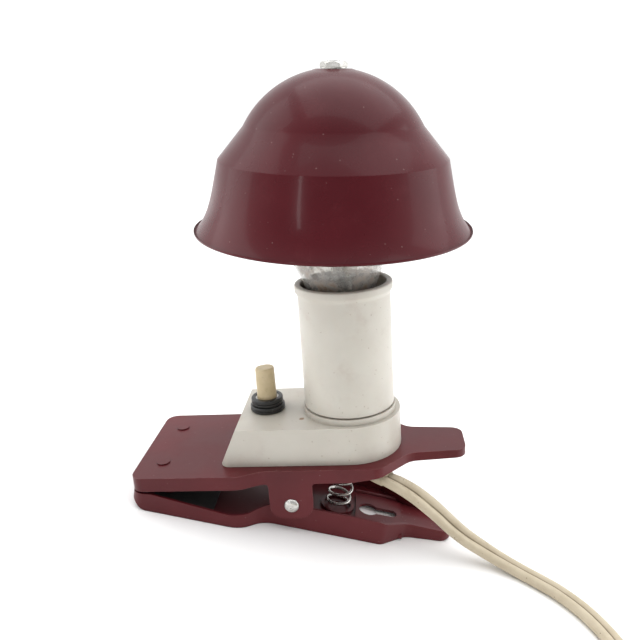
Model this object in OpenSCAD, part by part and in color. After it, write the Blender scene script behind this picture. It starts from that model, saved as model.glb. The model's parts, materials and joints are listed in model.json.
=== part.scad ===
/* [Clip] */
// Thickness of the pressed steel sheet of both jaws
sheet_t = 1.2; // [0.8:0.1:1.6]
// Angle between the upper and the lower jaw when the clip is closed
jaw_angle = 13.7; // [12:0.1:15]
// Half of the width of both jaws at the mouth
jaw_half_w = 29.7; // [26:0.1:36]
// Distance from the lamp's axis to the mouth's end
jaw_reach = 89.8; // [86:0.1:108]
// Distance from the lamp's axis to the end of the upper handle
handle_reach = 48.3; // [45:0.1:58]
// Half of the width of the upper jaw between its ears
upper_half_w = 25.5; // [24.5:0.1:27]
// Half of the width of the lower jaw between the ears
lower_half_w = 21.4; // [20.5:0.1:22]
// Half of the width of the handles where they leave the neck
handle_half_w = 12.2; // [10:0.1:14]
// Depth of the flange round the upper jaw
upper_flange = 6; // [5.5:0.1:6.4]
// Height of the flange along the middle of the lower jaw
lower_flange = 10.5; // [9:0.1:11]
// Height of the lower handle's flange at its end
handle_flange = 4.5; // [3:0.1:5]
// Distance from the lamp's axis back to the pivot
pivot_back = 24.7; // [23:0.1:26]
// Depth of the pivot below the top of the upper jaw
pivot_drop = 16; // [15:0.1:17]
// Height of the pivot above the surface that the lower jaw rests on
pivot_z = 13; // [12.6:0.1:14]
// Radius of the pivot pin
pivot_r = 2; // [1.5:0.1:2.5]
// Radius of the pivot pin's domed heads
pivot_head_r = 3.1; // [2.8:0.1:3.6]

/* [Keyhole] */
// Radius of the round part of the keyhole
keyhole_r = 4.3; // [3.5:0.1:5]
// Radius of the slot of the keyhole
keyslot_r = 2.5; // [1.8:0.1:3]
// Distance from the pivot to the round part of the keyhole
keyhole_x = 34.2; // [33:0.1:36]
// Length of the keyhole between its two centres
keyhole_l = 10.4; // [8:0.1:11]

/* [Housing] */
// Height of the housing's top above the upper jaw
housing_h = 16.3; // [15:0.1:20]
// Wall of the housing
housing_wall = 2; // [1.6:0.1:2.4]
// Radius of the housing's round end, which is also half of its width
housing_r = 21.5; // [20.5:0.1:23]
// Distance from the lamp's axis to the housing's square end
housing_reach = 53.7; // [51:0.1:56]
// How far the square end leans in at the top
housing_lean = 7.5; // [6:0.1:8]

/* [Switch] */
// Distance from the lamp's axis to the switch
switch_back = 35.4; // [34:0.1:37]
// Radius of the push button
button_r = 4.2; // [3.8:0.1:4.4]
// Height of the button's top above the upper jaw
button_top = 35.7; // [33:0.1:42]
// Travel of the push button
button_travel = 3; // [2:0.1:3.4]
// Radius of the switch's threaded bushing
bushing_r = 5; // [4.9:0.1:5.4]

/* [Lamp holder] */
// Radius of the holder's straight outer skirt
skirt_r = 19; // [18.8:0.1:21]
// Radius of the holder's lip
lip_r = 20; // [19.9:0.1:22]
// Height of the holder's lip above the upper jaw
lip_z = 72; // [70:0.1:86]
// Wall of the holder's skirt
skirt_wall = 1.5; // [1.2:0.1:1.6]
// Inner radius of the threaded shell
shell_r = 13.9; // [13.9:0.1:14.3]

/* [Bulb] */
// Radius of the bulb's round part
bulb_r = 30; // [27:0.1:31]
// Height of the middle of the bulb's round part above its contact
bulb_mid = 75; // [73:0.1:77]
// Radius of the bulb's screw cap
cap_r = 13.1; // [12.9:0.1:13.2]
// Angle that the bulb leans by in its holder, towards the mouth
bulb_lean = 1.4; // [0:0.1:1.5]
// Angle that the bulb leans by in its holder, towards the back
bulb_lean_back = 1; // [0:0.1:1]

/* [Shade] */
// Radius of the shade at its rim
shade_r = 54.9; // [50:0.1:66]
// Radius of the shade at the crease between dome and skirt
crease_r = 44.35; // [42:0.1:46]
// Height of the skirt from the rim to the crease
skirt_h = 27.7; // [25:0.1:31]
// Height of the whole shade from its rim to its top
shade_h = 60.2; // [60:0.1:61.5]
// Radius of the shade's round dome
dome_r = 38.8; // [37:0.1:40]
// Thickness of the shade's sheet
shade_t = 0.7; // [0.5:0.1:1]
// Depth of the rim below the middle of the bulb
rim_drop = 19.8; // [19:0.1:21]
// Lean of the shade towards its front
shade_lean_front = 3.5; // [0:0.1:5]
// Lean of the shade towards the handles
shade_lean_side = 3.7; // [0:0.1:5]
// Size of the shade's hexagon nut across its corners
nut_w = 10.4; // [9:0.1:12]

/* [Cord] */
// Width of the flat twin cord
cord_w = 8; // [6:0.1:8]
// Thickness of the flat twin cord
cord_t = 4; // [3:0.1:4]
// Radius of the coil to the middle of its turns
coil_r = 44; // [40:1:46]
// Number of layers in the coil
coil_layers = 3; // [2:1:4]
// Radius of the plug's pins
plug_pin_r = 2; // [1.9:0.05:2.4]
// Length of the plug's pins
plug_pin_l = 19; // [17:0.1:20]
// Distance between the middles of the plug's pins
plug_pin_gap = 19; // [18:0.1:20]
// Thickness of the plug
plug_t = 13.6; // [12:0.1:15]

/* [Hidden] */
$fn = 64;

// Half of the width of a cut that goes right through
far = 40;
// Clearance between pieces that are fixed to each other
fixed_gap = 0.05;
// Radial clearance of a pin or a plunger that runs in its bore
run_gap = 0.08;
// Clearance between moving pieces
move_gap = 0.3;

// Colours
burgundy = [0.33, 0.04, 0.06];
ivory = [0.86, 0.84, 0.79];
cream = [0.84, 0.77, 0.6];
black = [0.05, 0.05, 0.05];
steel = [0.7, 0.7, 0.7];
brass = [0.78, 0.6, 0.28];
glass = [0.85, 0.88, 0.88, 0.35];

// Outlines: each point of a corner list is [x, y, radius of the corner]
function unit(v) = v / norm(v);
function turn90(v) = [-v.y, v.x];

function corner(a, b, c, r, n) =
    let (u = unit(a - b), v = unit(c - b), ang = acos(u * v), swing = 180 - ang)
    let (mid = b + unit(u + v) * r / sin(ang / 2))
    let (s = b + u * r / tan(ang / 2) - mid, e = b + v * r / tan(ang / 2) - mid)
    [for (k = [0 : n]) mid + (sin((1 - k / n) * swing) * s + sin(k / n * swing) * e) / sin(swing)];

function rounded(pts, n = 5) =
    let (m = len(pts))
    [for (i = [0 : m - 1])
        let (a = pts[(i + m - 1) % m], b = pts[i], c = pts[(i + 1) % m])
        let (flat_b = [b.x, b.y])
        each b[2] > 0 ? corner([a.x, a.y], flat_b, [c.x, c.y], b[2], n) : [flat_b]];

function inset(pts, d) =
    let (m = len(pts))
    [for (i = [0 : m - 1])
        let (u = unit(pts[i] - pts[(i + m - 1) % m]), v = unit(pts[(i + 1) % m] - pts[i]))
        let (p = turn90(u), q = turn90(v))
        pts[i] + d * (p + q) / (1 + p * q)];

// The other half of an outline that is the same on both sides of the X axis
function both_sides(half) =
    let (m = len(half))
    concat(half, [for (i = [m - 1 : -1 : 0]) [half[i].x, -half[i].y, half[i][2]]]);

// Curves through hand-chosen points
function spline(a, b, c, d, t) =
    0.5 * (2 * b + (c - a) * t + (2 * a - 5 * b + 4 * c - d) * t * t
        + (3 * b - a - 3 * c + d) * t * t * t);

function smooth(pts, n) =
    let (m = len(pts) - 1)
    [for (i = [0 : m - 1], k = [0 : n - 1])
        spline(pts[max(i - 1, 0)], pts[i], pts[i + 1], pts[min(i + 2, m)], k / n), pts[m]];

function tangent(p, i) = unit(p[min(i + 1, len(p) - 1)] - p[max(i - 1, 0)]);

// A solid swept along points: up gives the section's second axis, grow its size at each point
module sweep(path, up, section, grow = [1, 1]) {
    m = len(path);
    s = len(section);
    pts = [for (i = [0 : m - 1])
        let (t = tangent(path, i), n = unit(up[i] - (up[i] * t) * t), w = cross(t, n))
        let (g = grow[0] + (grow[1] - grow[0]) * i / (m - 1))
        for (q = section) path[i] + g * (q.x * w + q.y * n)];
    sides = [for (i = [0 : m - 2], j = [0 : s - 1])
        let (a = i * s + j, b = i * s + (j + 1) % s, c = a + s, d = b + s)
        each [[a, c, b], [b, c, d]]];
    caps = [[for (j = [0 : s - 1]) j], [for (j = [s - 1 : -1 : 0]) (m - 1) * s + j]];
    polyhedron(points = pts, faces = concat(sides, caps));
}

function ring_section(r, n) = [for (k = [0 : n - 1]) r * [cos(k * 360 / n), -sin(k * 360 / n)]];

// A compression spring that stands on the XY plane
module coil_spring(r, wire_r, h, turns, per_turn, sides) {
    steps = turns * per_turn;
    path = [for (k = [0 : steps])
        [r * cos(k * 360 / per_turn), r * sin(k * 360 / per_turn), wire_r + (h - 2 * wire_r) * k / steps]];
    sweep(path, [for (p = path) [0, 0, 1]], ring_section(wire_r, sides));
}

// Frames of reference
module lamp_frame() {
    translate([0, 0, pivot_z]) rotate([0, -jaw_angle, 0]) translate([pivot_back, 0, pivot_drop]) children();
}

contact_depth = 34;
contact_z = lip_z - contact_depth;

module bulb_frame() {
    lamp_frame() translate([0, 0, contact_z]) rotate([-bulb_lean_back, -bulb_lean, 0]) children();
}

bulb_rise = bulb_mid * cos(bulb_lean_back);
bulb_centre = [
    -bulb_rise * sin(bulb_lean),
    bulb_mid * sin(bulb_lean_back),
    contact_z + bulb_rise * cos(bulb_lean)
];

// The middle of the shade's frame is the middle of the bulb's round part
module shade_frame() {
    lamp_frame() translate(bulb_centre) rotate([shade_lean_front, shade_lean_side, 0]) children();
}

module both_y() {
    children();
    mirror([0, 1, 0]) children();
}

module along_y(w) {
    rotate([90, 0, 0]) linear_extrude(2 * w, center = true) children();
}

module ring(r_out, r_in, z0, z1) {
    translate([0, 0, z0]) difference() {
        cylinder(r = r_out, h = z1 - z0);
        translate([0, 0, -1]) cylinder(r = r_in, h = z1 - z0 + 2);
    }
}

module disc(r, z0, z1) {
    translate([0, 0, z0]) cylinder(r = r, h = z1 - z0);
}

// Upper jaw: a pressed channel, open below, with an ear on each side
step_x = 8.6;
upper_step = -44.7;
neck_x = 12;
neck_l = 12.7;
ear_r = 9;
tip_corner = 5;
upper_outline = rounded(both_sides([
    [-jaw_reach, -jaw_half_w, tip_corner],
    [upper_step, -jaw_half_w, 12],
    [upper_step + step_x, -upper_half_w, 12],
    [neck_x, -upper_half_w, 6],
    [neck_x + neck_l, -handle_half_w, 8],
    [handle_reach, -handle_half_w + 2, tip_corner]
]));
upper_inner = inset(upper_outline, sheet_t);
upper_side = rounded([
    [-jaw_reach - 1, 1, 0],
    [-jaw_reach - 1, -upper_flange, 0],
    [-pivot_back - ear_r, -upper_flange, 1.5],
    [-pivot_back - ear_r, -pivot_drop - 6, 6],
    [-pivot_back + ear_r, -pivot_drop - 6, 6],
    [-pivot_back + ear_r, -upper_flange, 1.5],
    [0, -upper_flange, 0],
    [neck_x, -upper_flange + 1.8, 0],
    [handle_reach + 1, -upper_flange + 2.4, 0],
    [handle_reach + 1, 1, 0]
]);
cord_hole = [3.5, -10.5];
cord_hole_r = 6.6;
pad_rivets = [-79.3, 16.2];
pad_rivet_r = 1.6;
screw_spots = [[-41.8, 15], [-41.8, -15], [16, 0]];
screw_r = 1.4;

module at_screws() {
    for (p = screw_spots) translate([p.x, p.y, 0]) children();
}

module upper_jaw() {
    color(burgundy) lamp_frame() difference() {
        intersection() {
            translate([0, 0, -far]) linear_extrude(far) polygon(upper_outline);
            along_y(far) polygon(upper_side);
        }
        translate([0, 0, -far]) linear_extrude(far - sheet_t) polygon(upper_inner);
        translate([-pivot_back, 0, -pivot_drop]) rotate([90, 0, 0])
            cylinder(r = pivot_r + fixed_gap, h = 2 * far, center = true);
        translate([cord_hole.x, cord_hole.y, -3]) cylinder(r = cord_hole_r, h = 6);
        both_y() translate([pad_rivets.x, pad_rivets.y, -3]) cylinder(r = pad_rivet_r + fixed_gap, h = 6);
        at_screws() translate([0, 0, -3]) cylinder(r = screw_r + fixed_gap, h = 6);
    }
}

// Friction pads inside the mouth
pad_t = 2;
pad_l = 36;
lower_pad_l = 26;
pad_gap = 0.4;

// A pad fills a jaw's outline from its tip to a place along X, and is riveted on both sides
module pad_block(outline, x_from, x_to, rivet_x) {
    difference() {
        linear_extrude(pad_t) intersection() {
            polygon(inset(outline, sheet_t + pad_gap));
            translate([x_from, -jaw_half_w]) square([x_to - x_from, 2 * jaw_half_w]);
        }
        both_y() translate([rivet_x, pad_rivets.y, -1]) cylinder(r = pad_rivet_r + fixed_gap, h = pad_t + 2);
    }
}

module upper_jaw_pad() {
    color(black) lamp_frame() translate([0, 0, -sheet_t - pad_t])
        pad_block(upper_outline, -jaw_reach, -jaw_reach + pad_l, pad_rivets.x);
}

rivet_head_r = 2.8;
rivet_head_t = 0.5;

module upper_pad_rivets() {
    color(burgundy) lamp_frame() both_y() translate([pad_rivets.x, pad_rivets.y, 0]) {
        disc(rivet_head_r, 0, rivet_head_t);
        disc(pad_rivet_r, -sheet_t - pad_t, 0);
        disc(rivet_head_r, -sheet_t - pad_t - rivet_head_t, -sheet_t - pad_t);
    }
}

// Pivot: a pin with domed heads, fixed in the ears, and a spacer on each side
pivot_head_t = 1.4;
spacer_r = 4.2;

module pivot_head() {
    rotate_extrude() polygon(concat([[0, 0]],
        [for (a = [0 : 15 : 90]) [pivot_head_r * cos(a), pivot_head_t * sin(a)]]));
}

module pivot_pin() {
    color(steel) translate([0, 0, pivot_z]) both_y() rotate([90, 0, 0]) {
        cylinder(r = pivot_r, h = upper_half_w);
        translate([0, 0, upper_half_w]) pivot_head();
    }
}

module pivot_spacers() {
    w0 = lower_half_w + move_gap;
    w1 = upper_half_w - sheet_t;
    color(steel) translate([0, 0, pivot_z]) both_y() rotate([90, 0, 0])
        ring(spacer_r, pivot_r + fixed_gap, w0, w1);
}

// Lower jaw: a pressed channel, open above, that lies flat on its underside
lower_tip = -65.6;
lower_step = -19;
lower_neck = 40;
lower_neck_l = 11;
lower_end = 71;
lower_ear_r = 5.5;
lower_outline = rounded(both_sides([
    [lower_tip, -jaw_half_w, tip_corner],
    [lower_step, -jaw_half_w, 12],
    [lower_step + step_x, -lower_half_w, 12],
    [lower_neck, -lower_half_w, 5],
    [lower_neck + lower_neck_l, -handle_half_w, 8],
    [lower_end, -handle_half_w + 2.4, tip_corner]
]));
lower_inner = inset(lower_outline, sheet_t);
lower_side = rounded([
    [lower_tip - 1, 4, 0],
    [lower_tip - 0.4, 4, 3],
    [lower_tip + 5, 0, 5],
    [lower_end - 4, 0, 8],
    [lower_end + 1, 1.6, 0],
    [lower_end + 1, handle_flange, 0],
    [lower_neck + lower_neck_l, handle_flange + 2, 12],
    [lower_neck - 2, lower_flange, 8],
    [lower_ear_r + 2, lower_flange, 3],
    [lower_ear_r, pivot_z + lower_ear_r, 5],
    [-lower_ear_r, pivot_z + lower_ear_r, 5],
    [-lower_ear_r - 2, lower_flange - 1, 2],
    [lower_step + 2, 6.4, 6],
    [lower_step - 6, 5.4, 8],
    [lower_tip + 8, 7.9, 6],
    [lower_tip - 1, 6.6, 0]
], 4);
lower_hollow = rounded([
    [lower_tip + sheet_t, far, 0],
    [lower_tip + sheet_t, 4 + sheet_t / 4, 3],
    [lower_tip + 5 + sheet_t / 2, sheet_t, 4],
    [lower_end - 4, sheet_t, 8],
    [lower_end + 1, 1.6 + sheet_t, 0],
    [lower_end + 1, far, 0]
], 4);
panel_x = [28.3, 49];
panel_half_w = 10;
panel_h = 1;
rib_r = 1;
rib_y = 14.5;
spring_x = 20;
spring_r = 5;
spring_wire = 0.65;
spring_slack = 0.2;
seat_r = 7.6;
seat_gap = 0.35;
seat_t = 1.2;
panel_border = 2;
lower_rivet_x = -53;
lower_pad_from = -58;

module lower_jaw() {
    color(burgundy) difference() {
        union() {
            difference() {
                intersection() {
                    linear_extrude(far) polygon(lower_outline);
                    along_y(far) polygon(lower_side);
                }
                intersection() {
                    linear_extrude(far) polygon(lower_inner);
                    along_y(far) polygon(lower_hollow);
                }
            }
            translate([panel_x[0], -panel_half_w, sheet_t])
                cube([panel_x[1] - panel_x[0], 2 * panel_half_w, panel_h]);
            ring_seat();
            both_y() translate([panel_x[0], rib_y, sheet_t]) rotate([0, 90, 0])
                cylinder(r = rib_r, h = panel_x[1] - panel_x[0]);
        }
        translate([panel_x[0] + panel_border, -panel_half_w + panel_border, -1])
            cube([panel_x[1] - panel_x[0] - 2 * panel_border, 2 * (panel_half_w - panel_border), 1 + panel_h]);
        translate([0, 0, pivot_z]) rotate([90, 0, 0])
            cylinder(r = pivot_r + run_gap, h = 2 * far, center = true);
        translate([keyhole_x, 0, -1]) cylinder(r = keyhole_r, h = 5);
        translate([keyhole_x, -keyslot_r, -1]) cube([keyhole_l, 2 * keyslot_r, 5]);
        translate([keyhole_x + keyhole_l, 0, -1]) cylinder(r = keyslot_r, h = 5);
        both_y() translate([lower_rivet_x, pad_rivets.y, -1]) cylinder(r = pad_rivet_r + fixed_gap, h = 5);
    }
}

module ring_seat() {
    translate([spring_x, 0, sheet_t]) ring(seat_r, spring_r + spring_wire + seat_gap, 0, seat_t);
}

module lower_jaw_pad() {
    color(black) translate([0, 0, sheet_t])
        pad_block(lower_outline, lower_pad_from, lower_pad_from + lower_pad_l, lower_rivet_x);
}

module lower_pad_rivets() {
    color(burgundy) both_y() translate([lower_rivet_x, pad_rivets.y, 0]) {
        disc(pad_rivet_r, 0, sheet_t + pad_t);
        disc(rivet_head_r, sheet_t + pad_t, sheet_t + pad_t + rivet_head_t);
    }
}

// Compression spring between the jaws, behind the pivot
spring_top = pivot_z + (pivot_drop - sheet_t + (spring_x - spring_r) * sin(jaw_angle)) / cos(jaw_angle);

module clip_spring() {
    color(steel) translate([spring_x, 0, sheet_t])
        coil_spring(spring_r, spring_wire, spring_top - sheet_t - spring_slack, 6, 14, 6);
}

// Two screws join the housing's boss to the holder's insert
holder_screw_x = 14.2;

module at_holder_screws() {
    for (a = [45, 225]) rotate(a) translate([holder_screw_x, 0, 0]) children();
}

// Housing: an open-bottomed moulding with a boss that carries the holder
boss_r = skirt_r + 0.5;
boss_h = 2.6;
boss_top = housing_h + boss_h;
holder_bore_r = 12;
screw_boss_r = 3.2;
screw_depth = 8;
housing_corner = 4;
housing_arc = [for (a = [-90 : 7.5 : 90]) housing_r * [cos(a), sin(a)]];
housing_outline = concat(housing_arc, rounded([
    [0, housing_r + 0.01, 0],
    [-housing_reach, housing_r + 0.01, housing_corner],
    [-housing_reach, -housing_r - 0.01, housing_corner],
    [0, -housing_r - 0.01, 0]
]));
housing_side = [
    [-housing_reach, 0],
    [housing_r + 1, 0],
    [housing_r + 1, housing_h],
    [-housing_reach + housing_lean, housing_h]
];

module housing_block(wall, top) {
    intersection() {
        linear_extrude(top) polygon(wall > 0 ? inset(housing_outline, wall) : housing_outline);
        translate([wall, 0, 0]) along_y(far) polygon(housing_side);
    }
}

module housing() {
    color(ivory) lamp_frame() difference() {
        union() {
            difference() {
                union() {
                    housing_block(0, housing_h);
                    disc(boss_r, housing_h - 1, boss_top);
                }
                translate([0, 0, -0.01]) housing_block(housing_wall, housing_h - housing_wall);
            }
            at_screws() disc(screw_boss_r, 0, housing_h - housing_wall + 0.5);
        }
        disc(holder_bore_r, 5, boss_top + 1);
        translate([-switch_back, 0, 0]) disc(bushing_r + fixed_gap, 5, 30);
        at_screws() disc(screw_r + fixed_gap, -1, screw_depth + 0.5);
        at_holder_screws() disc(screw_r + fixed_gap, 10, 30);
    }
}

// Pressboard sheet under the wiring
fibre_t = 0.8;
fibre_gap = 0.4;

module insulating_sheet() {
    color("tan") lamp_frame() difference() {
        housing_block(housing_wall + fibre_gap, fibre_t);
        at_screws() disc(screw_boss_r + fibre_gap, -1, 2);
        translate([cord_hole.x, cord_hole.y, -1]) cylinder(r = cord_hole_r + 2 * fibre_gap, h = 3);
        for (p = clamp_spots) translate([p.x, p.y, -1]) cylinder(r = screw_r, h = 3);
    }
}

screw_head_r = 2.7;
screw_head_t = 1.6;
slot_w = 0.7;
slot_t = 0.7;

module screw_slot() {
    translate([-screw_head_r - 0.3, -slot_w / 2, 0]) cube([2 * screw_head_r + 0.6, slot_w, slot_t + 1]);
}

module pan_head() {
    rotate_extrude() polygon([
        [0, 0],
        [screw_head_r, 0],
        [screw_head_r, 0.6 * screw_head_t],
        [0.7 * screw_head_r, screw_head_t],
        [0, screw_head_t]
    ]);
}

module housing_screws() {
    color(steel) lamp_frame() at_screws() difference() {
        union() {
            disc(screw_r, -sheet_t, screw_depth);
            translate([0, 0, -sheet_t]) mirror([0, 0, 1]) pan_head();
        }
        translate([0, 0, -sheet_t - screw_head_t - 1]) screw_slot();
    }
}

// Push-button switch under the housing's top
switch_top = housing_h - housing_wall - fixed_gap;
switch_half = [9, 8];
switch_bottom = 3.2;
chamber_r = 5.6;
bushing_bottom = switch_top - 2;
shoulder_h = 2;
shoulder_gap = 0.1;
shoulder_top = bushing_bottom - shoulder_gap;
pressed_spring_h = 2.05;
chamber_floor = shoulder_top - shoulder_h - shoulder_gap - button_travel - pressed_spring_h;
bushing_top = 22;
lock_ring_t = 2.8;
ring_nut_t = 3.2;

module at_switch() {
    lamp_frame() translate([-switch_back, 0, 0]) children();
}

module switch_body() {
    color([0.25, 0.15, 0.1]) at_switch() difference() {
        translate([-switch_half.x, -switch_half.y, switch_bottom])
            cube([2 * switch_half.x, 2 * switch_half.y, switch_top - switch_bottom]);
        disc(chamber_r, chamber_floor, bushing_bottom);
        disc(bushing_r + fixed_gap, chamber_floor, switch_top + 1);
    }
}

module switch_bushing() {
    color(steel) at_switch() ring(bushing_r, button_r + run_gap, bushing_bottom, bushing_top);
}

module turned_ring(r, r_in, h, bevel) {
    rotate_extrude() polygon([
        [r_in, 0],
        [r - bevel, 0],
        [r, bevel],
        [r, h - bevel],
        [r - bevel, h],
        [r_in, h]
    ]);
}

module switch_lock_ring() {
    color(black) at_switch() translate([0, 0, housing_h])
        turned_ring(7.4, bushing_r + fixed_gap, lock_ring_t, 0.5);
}

module switch_ring_nut() {
    color(black) at_switch() translate([0, 0, housing_h + lock_ring_t])
        turned_ring(6.8, bushing_r + fixed_gap, ring_nut_t, 0.6);
}

terminal_gap = 4.6;
terminal_bottom = 1.4;
lead_hole_r = 0.9;

module switch_terminals() {
    color(brass) at_switch() for (s = [-1, 1]) translate([0, s * terminal_gap, 0]) difference() {
        translate([-3, -1.5, terminal_bottom]) cube([6, 3, switch_bottom - terminal_bottom]);
        cylinder(r = lead_hole_r, h = 2.4);
    }
}

button_bevel = 0.7;
button_edge = 0.2;

module push_button() {
    color(cream) at_switch() {
        disc(chamber_r - 0.3, shoulder_top - shoulder_h, shoulder_top);
        rotate_extrude() polygon([
            [0, shoulder_top - button_bevel],
            [button_r, shoulder_top - button_bevel],
            [button_r, button_top - button_bevel],
            [button_r - button_edge, button_top - button_edge],
            [button_r - button_bevel, button_top],
            [0, button_top]
        ]);
    }
}

button_spring_r = 3.4;
button_wire = 0.3;

module button_spring() {
    h = shoulder_top - shoulder_h - chamber_floor - shoulder_gap;
    color(steel) at_switch() translate([0, 0, chamber_floor])
        coil_spring(button_spring_r, button_wire, h, 3, 14, 6);
}

// Lamp holder: skirt, insert, shell and contact
skirt_bottom = boss_top + 0.4;
insert_r = skirt_r - skirt_wall - 0.3;
insert_top = contact_z - 4;
insert_recess = 4;
insert_recess_r = 9;
head_seat = 6;
terminal_y = 6;
terminal_hole_r = 1.6;
skirt_bore = skirt_r - skirt_wall;

module holder_skirt() {
    color(ivory) lamp_frame() rotate_extrude() polygon([
        [skirt_bore, skirt_bottom],
        [skirt_r - 0.4, skirt_bottom],
        [skirt_r, skirt_bottom + 0.4],
        [skirt_r, lip_z - 4.2],
        [lip_r - 0.2, lip_z - 3.4],
        [lip_r, lip_z - 2.8],
        [lip_r, lip_z - 0.6],
        [lip_r - 0.6, lip_z],
        [skirt_bore + 0.9, lip_z],
        [skirt_bore, lip_z - 0.8]
    ]);
}

module holder_insert() {
    color("white") lamp_frame() difference() {
        disc(insert_r, boss_top, insert_top);
        disc(insert_recess_r, insert_top - insert_recess, insert_top + 1);
        at_holder_screws() {
            disc(screw_r + fixed_gap, boss_top - 1, insert_top + 1);
            disc(screw_head_r + fixed_gap, insert_top - head_seat, insert_top + 1);
        }
        for (s = [-1, 1]) translate([0, s * terminal_y, 0]) disc(terminal_hole_r, boss_top - 1, insert_top + 1);
    }
}

shell_t = 0.5;
shell_h = 23;
shell_hole_r = 9.6;

module holder_shell() {
    color(brass) lamp_frame() {
        ring(shell_r + shell_t, shell_r, insert_top, contact_z + shell_h);
        ring(shell_r + shell_t, shell_hole_r, insert_top, insert_top + shell_t);
        for (z = [contact_z + 6 : thread_pitch : contact_z + shell_h - 2])
            ring(shell_r + 2 * shell_t, shell_r + shell_t / 2, z, z + 1.6);
    }
}

module holder_contact() {
    z0 = insert_top - insert_recess;
    color(brass) lamp_frame() difference() {
        along_y(2.5) polygon([
            [-7.5, z0],
            [7.5, z0],
            [7.5, z0 + 0.6],
            [-6.7, z0 + 0.6],
            [-1, contact_z - 0.9],
            [4.5, contact_z - 0.9],
            [4.5, contact_z - move_gap],
            [-1.4, contact_z - move_gap],
            [-7.5, z0 + 0.9]
        ]);
        translate([0, 0, z0 - 1]) cylinder(r = 1.2, h = 2);
    }
}

module holder_screws() {
    color(steel) lamp_frame() at_holder_screws() difference() {
        union() {
            disc(screw_r, switch_top + 0.2, insert_top - head_seat);
            translate([0, 0, insert_top - head_seat]) pan_head();
        }
        translate([0, 0, insert_top - head_seat + screw_head_t - slot_t]) screw_slot();
    }
}

// Terminals under the insert, inside the boss's bore
term_z = [housing_h - 4, boss_top];

module holder_terminals() {
    color(brass) lamp_frame() for (s = [-1, 1]) translate([0, s * terminal_y, 0]) difference() {
        translate([-3, -2.5, term_z[0]]) cube([6, 5, term_z[1] - term_z[0]]);
        translate([0, 0, term_z[0] - 1]) cylinder(r = lead_hole_r, h = 3);
        translate([0, 0, term_z[0] + 4.5]) rotate([0, 90, 0]) cylinder(r = 1, h = 8, center = true);
    }
}

// Wiring inside the housing
lead_r = 0.8;
lead_top = term_z[0] + 1.2;
lead_a = [
    [-10.5, -3.6, 4.6],
    [-15, -3, 3.2],
    [-20, -4.2, 2.6],
    [-26, -4.6, 2.2],
    [-switch_back, -terminal_gap, 2]
];
lead_b = [
    [-10.5, -7.4, 4.6],
    [-13.6, -9, 6.4],
    [-11, -11, 9.5],
    [-5, -9.4, 10.8],
    [-1, -6.8, 11.2],
    [0, -terminal_y, lead_top]
];
lead_c = [
    [-switch_back, terminal_gap, 2],
    [-26, 5.4, 2.4],
    [-16, 7.6, 4],
    [-7, 7.6, 7.6],
    [-1.4, 6.4, 10.2],
    [0, terminal_y, lead_top]
];

module lead(route) {
    path = smooth(route, 3);
    lamp_frame() sweep(path, [for (p = path) [0.3, 0.95, 0.1]], ring_section(lead_r, 8));
}

module lead_to_switch() {
    color([0.35, 0.2, 0.1]) lead(lead_a);
}

module lead_to_holder() {
    color([0.15, 0.3, 0.55]) lead(lead_b);
}

module lead_switched() {
    color([0.35, 0.2, 0.1]) lead(lead_c);
}

// Cord: the route's points are [x, y, z, turn of the broad side towards the front]
cord_route = [
    [9, -5, 37, 0],
    [17.5, -7.5, 37, 0],
    [24, -10.5, 33, 0],
    [30.5, -14.5, 30, 0],
    [36.5, -19, 30, 5],
    [42, -21, 29.4, 20],
    [48.5, -21.5, 27, 35],
    [55, -21.5, 23.4, 45],
    [61, -21, 19.4, 45],
    [67, -20.5, 15, 42],
    [74, -20, 10.6, 32],
    [82, -20, 6.9, 18],
    [90, -21, 4, 6],
    [99, -24, 2.2, 0],
    [106, -28, 2, 0],
    [113, -33, 2, 0],
    [121, -42, 2, 0],
    [127, -54, 2, 0],
    [131, -70, 2, 0],
    [132, -90, 2, 0],
    [132, -115, 2, 0],
    [132, -136, 2, 0]
];
tail_route = [
    [84, -184, 10.2, 0],
    [74, -185, 10.2, 0],
    [64.5, -186, 10, 0],
    [55.5, -185, 8.2, 0],
    [47.5, -182, 6.6, 0],
    [40.5, -178, 6.4, 0],
    [34, -173, 6.8, 0]
];
coil_mid = [84, -136];
half_w = cord_w / 2 - cord_t / 2;

// A flat twin cord's section: two round cores side by side
cord_section = [for (s = [1, -1], a = [-90 : 36 : 90])
    [s * (half_w + cord_t / 2 * cos(a)), -s * cord_t / 2 * sin(a)]];

function xyz(p) = [p[0], p[1], p[2]];

function face_up(path) =
    [for (i = [0 : len(path) - 1])
        let (t = tangent([for (p = path) xyz(p)], i), z = [0, 0, 1])
        let (n = unit(z - (z * t) * t), w = cross(t, n))
        cos(path[i][3]) * n + sin(path[i][3]) * w];

module flat_cord(route, per_span, scale_w = [1, 1]) {
    path = smooth(route, per_span);
    sweep([for (p = path) xyz(p)], face_up(path), cord_section, scale_w);
}

module cord() {
    color(cream) {
        flat_cord(cord_route, 2);
        flat_cord(tail_route, 2);
    }
}

// Grommet in the upper jaw, with a tapered tail round the cord
grommet_lip = 1.2;
relief_from = 2;
relief_to = 4;

module cord_grommet() {
    color(ivory * 0.8) {
        lamp_frame() translate([cord_hole.x, cord_hole.y, 0]) {
            disc(cord_hole_r - fixed_gap, -sheet_t - 0.5, fibre_t + 0.5);
            disc(cord_hole_r + 1.4, fibre_t, fibre_t + grommet_lip);
            disc(cord_hole_r + 1.4, -sheet_t - grommet_lip, -sheet_t);
        }
        flat_cord([for (i = [relief_from : relief_to]) cord_route[i]], 4, [1.45, 1.12]);
    }
}

// Saddle that holds the cord down inside the housing
clamp_spots = [[-10.5, 2.6], [-6.5, -13.6]];
clamp_t = 1.4;
clamp_z = 7;

module along_clamp() {
    a = clamp_spots[0];
    b = clamp_spots[1];
    mid = (a + b) / 2;
    lamp_frame() translate([mid.x, mid.y, 0]) rotate(atan2(b.y - a.y, b.x - a.x)) children();
}

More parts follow.
